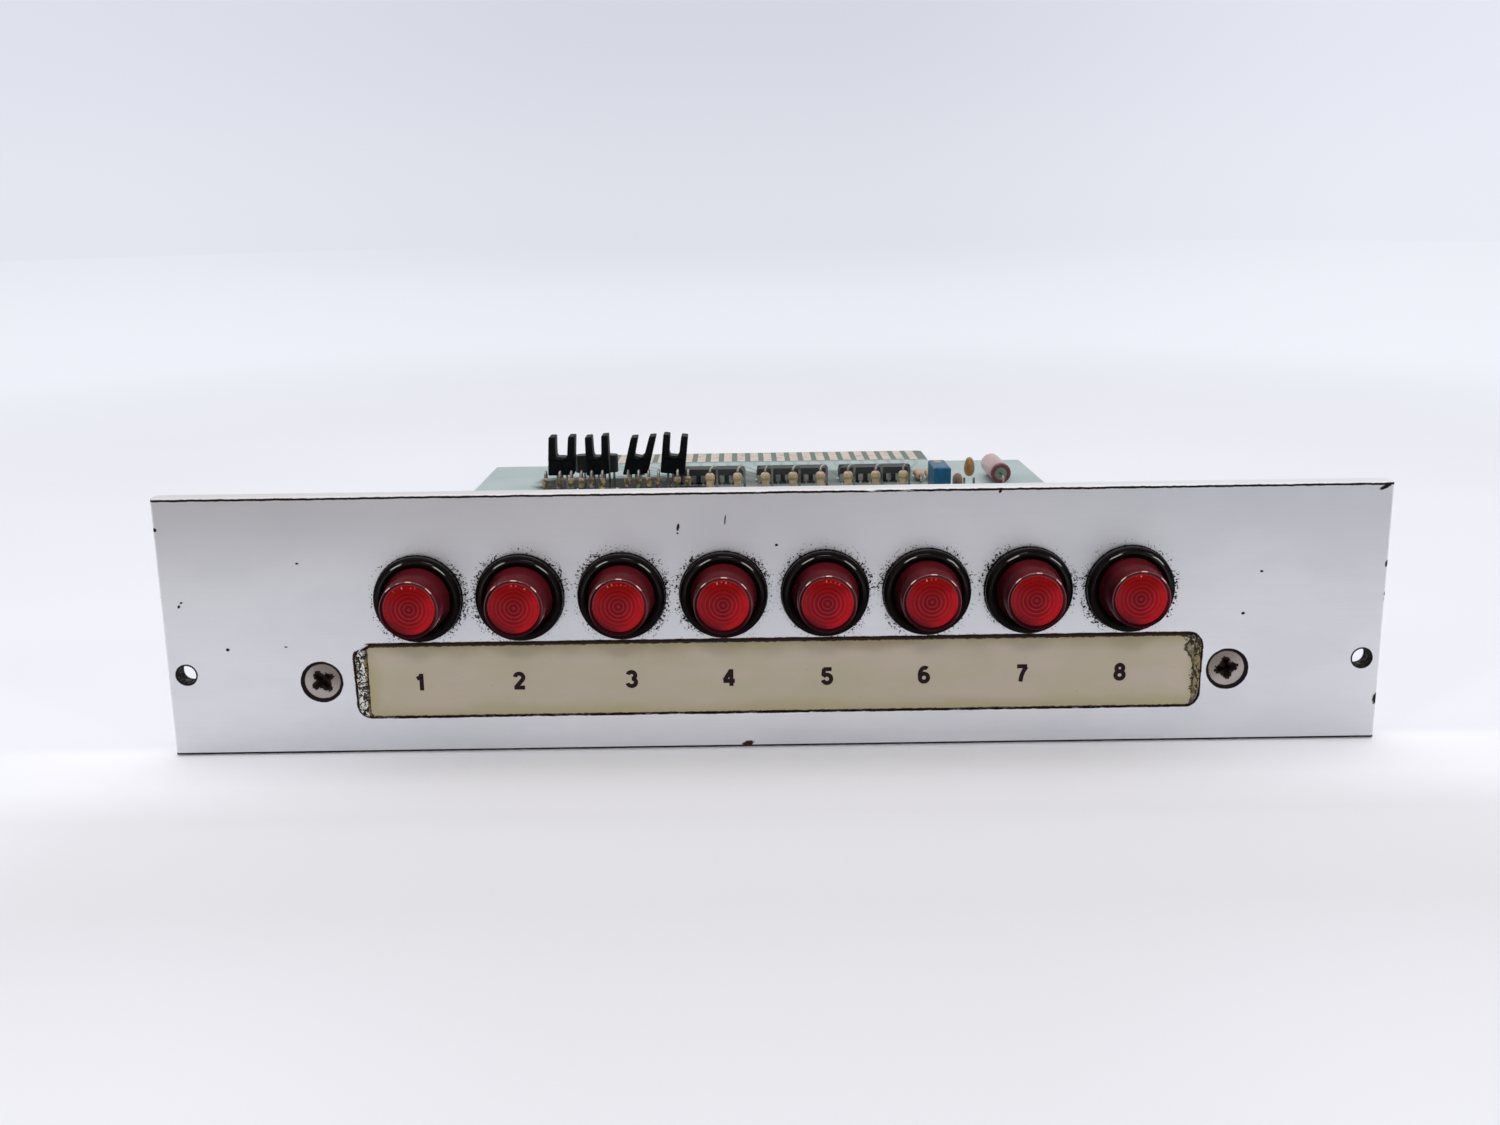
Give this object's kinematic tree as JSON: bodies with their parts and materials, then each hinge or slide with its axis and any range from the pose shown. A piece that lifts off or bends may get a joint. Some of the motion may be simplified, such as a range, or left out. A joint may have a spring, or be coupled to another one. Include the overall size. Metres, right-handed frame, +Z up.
{
  "type": "indicator lamp card",
  "caption": "Plug-in card with a row of round red indicator lamps in an aluminium front panel over a numbered strip, and a driver board ending in card-edge contacts.",
  "frame": {"origin": "middle of the two fixing holes, on the front panel's rear face", "axes": "+X along the panel to the right seen from the front, +Y from the panel towards the card-edge contacts, +Z up"},
  "size_m": [0.184, 0.2446, 0.04],
  "materials": {
    "satin_aluminium": "satin anodised, fine horizontal grain, small nicks",
    "aged_label": "aged cream plastic strip",
    "nickel_steel": "dull nickel plate",
    "zinc_steel": "bright zinc plate",
    "plain_aluminium": "mill finish",
    "board_laminate": "pale grey-green solder resist over laminate",
    "gold_contact": "thin worn gold plate",
    "tinned_metal": "tin plate",
    "wire_insulation": "red flexible insulation",
    "black_moulding": "black moulded epoxy",
    "disc_coating": "brown dipped coating",
    "beige_lacquer": "beige lacquer with colour bands",
    "blue_moulding": "blue moulded plastic",
    "brass_screw": "turned brass",
    "ochre_dip": "ochre dipped resin",
    "pink_sleeve": "pale pink sleeve with dark red end ring",
    "capacitor_sleeve": "dark blue shrink sleeve, bare aluminium top",
    "black_holder": "glossy black moulding",
    "red_lens": "clear red translucent moulding",
    "bulb_glass": "clear glass on a nickel base",
    "black_anodised": "matt black anodised"
  },
  "bodies": {
    "module": {"angle_brackets": "plain_aluminium", "axial_capacitor": "pink_sleeve", "bias_resistors": "beige_lacquer", "board_screws": "zinc_steel", "bulb_1": "bulb_glass", "bulb_2": "bulb_glass", "bulb_3": "bulb_glass", "bulb_4": "bulb_glass", "bulb_5": "bulb_glass", "bulb_6": "bulb_glass", "bulb_7": "bulb_glass", "bulb_8": "bulb_glass", "bus_wire": "tinned_metal", "channel_resistors": "beige_lacquer", "circuit_board": "board_laminate", "circuit_pins": "tinned_metal", "clamp_diodes": "black_moulding", "component_leads": "tinned_metal", "disc_capacitors": "disc_coating", "driver_transistors": "black_moulding", "dropper_resistors": "beige_lacquer", "edge_contacts": "gold_contact", "front_panel": "satin_aluminium", "heat_sink_1": "black_anodised", "heat_sink_2": "black_anodised", "heat_sink_3": "black_anodised", "heat_sink_4": "black_anodised", "integrated_circuit_1": "black_moulding", "integrated_circuit_2": "black_moulding", "integrated_circuit_3": "black_moulding", "integrated_circuit_4": "black_moulding", "integrated_circuit_5": "black_moulding", "label_strip": "aged_label", "lamp_holder_1": "black_holder", "lamp_holder_2": "black_holder", "lamp_holder_3": "black_holder", "lamp_holder_4": "black_holder", "lamp_holder_5": "black_holder", "lamp_holder_6": "black_holder", "lamp_holder_7": "black_holder", "lamp_holder_8": "black_holder", "lamp_nuts": "zinc_steel", "lamp_terminals": "tinned_metal", "lamp_washers": "zinc_steel", "lamp_wires": "wire_insulation", "nuts": "zinc_steel", "panel_screws": "nickel_steel", "reservoir_capacitors": "capacitor_sleeve", "solder_joints": "tinned_metal", "tantalum_capacitor": "ochre_dip", "trimmer_body": "blue_moulding"},
    "lens_1": {"lens_cap_1": "red_lens"},
    "lens_2": {"lens_cap_2": "red_lens"},
    "lens_3": {"lens_cap_3": "red_lens"},
    "lens_4": {"lens_cap_4": "red_lens"},
    "lens_5": {"lens_cap_5": "red_lens"},
    "lens_6": {"lens_cap_6": "red_lens"},
    "lens_7": {"lens_cap_7": "red_lens"},
    "lens_8": {"lens_cap_8": "red_lens"},
    "adjuster": {"trimmer_screw": "brass_screw"}
  },
  "joints": [
    {"name": "lens_pull_1", "type": "slide", "parent": "module", "child": "lens_1", "axis": [0, -1, 0], "range_m": [0, 0.012]},
    {"name": "lens_pull_2", "type": "slide", "parent": "module", "child": "lens_2", "axis": [0, -1, 0], "range_m": [0, 0.012]},
    {"name": "lens_pull_3", "type": "slide", "parent": "module", "child": "lens_3", "axis": [0, -1, 0], "range_m": [0, 0.012]},
    {"name": "lens_pull_4", "type": "slide", "parent": "module", "child": "lens_4", "axis": [0, -1, 0], "range_m": [0, 0.012]},
    {"name": "lens_pull_5", "type": "slide", "parent": "module", "child": "lens_5", "axis": [0, -1, 0], "range_m": [0, 0.012]},
    {"name": "lens_pull_6", "type": "slide", "parent": "module", "child": "lens_6", "axis": [0, -1, 0], "range_m": [0, 0.012]},
    {"name": "lens_pull_7", "type": "slide", "parent": "module", "child": "lens_7", "axis": [0, -1, 0], "range_m": [0, 0.012]},
    {"name": "lens_pull_8", "type": "slide", "parent": "module", "child": "lens_8", "axis": [0, -1, 0], "range_m": [0, 0.012]},
    {"name": "trimmer_turn", "type": "hinge", "parent": "module", "child": "adjuster", "pos_m": [0.0449, 0.1528, 0.0055], "axis": [0, 0, 1], "continuous": true}
  ]
}
